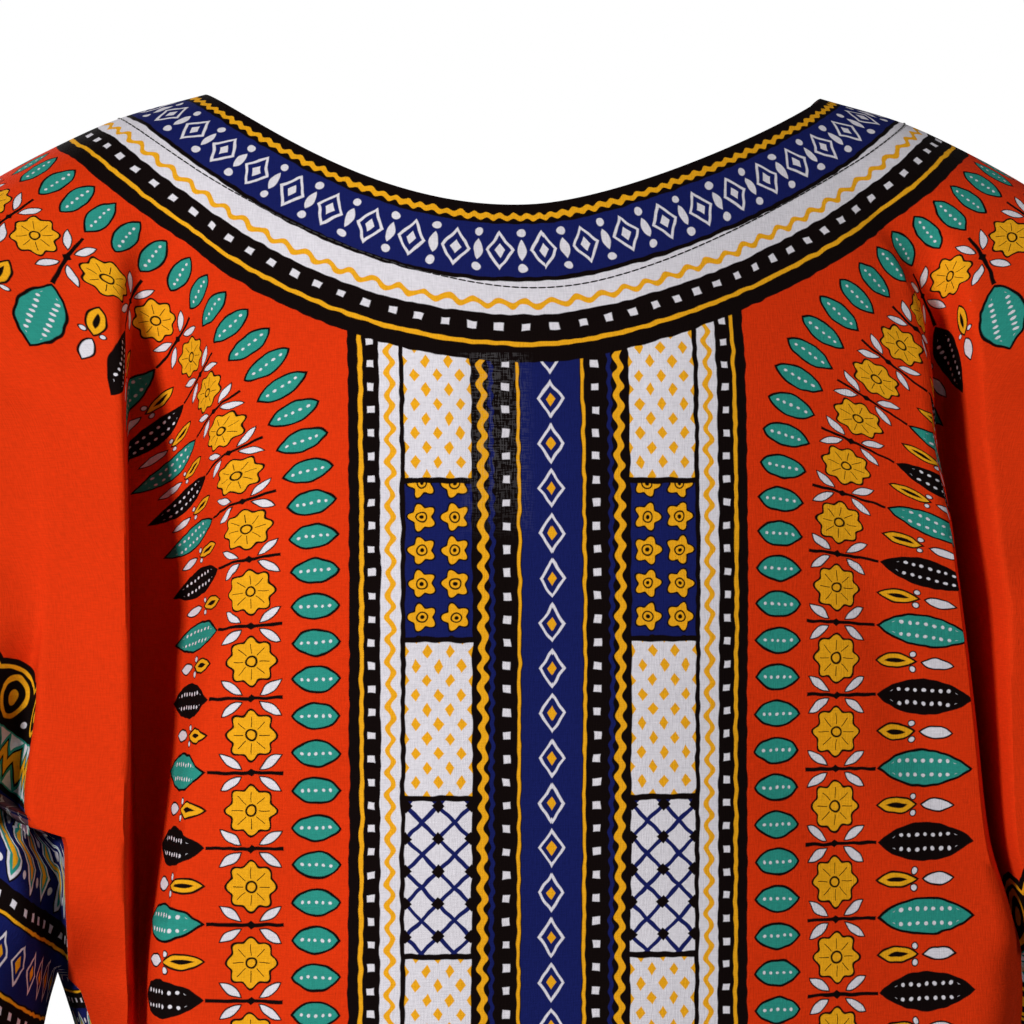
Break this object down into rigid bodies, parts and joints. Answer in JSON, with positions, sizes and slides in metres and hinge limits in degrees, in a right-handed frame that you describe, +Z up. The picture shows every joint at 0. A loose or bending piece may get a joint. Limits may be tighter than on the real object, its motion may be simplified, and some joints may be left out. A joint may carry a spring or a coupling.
{
  "type": "dashiki shirt",
  "caption": "Loose kimono-cut pullover shirt as worn, with wide half sleeves, a scooped back neck, a V front neck and turned-in neck facings.",
  "frame": {"origin": "midway between the two points where the neck edge meets the shoulder seams, where the wearer's shoulders hold the shirt", "axes": "+Z up, -Y the wearer's front, +Y the wearer's back, +X the wearer's left"},
  "size_m": [0.636, 0.2649, 0.7201],
  "materials": {
    "printed_cotton": "matt wax-print cotton, orange-red ground with black, white, gold, blue and teal print",
    "facing_cotton": "matt cotton, the print's paler wrong side"
  },
  "bodies": {
    "root": {"back": "printed_cotton", "front": "printed_cotton", "neck_facing_back": "facing_cotton", "neck_facing_front": "facing_cotton"}
  },
  "joints": []
}
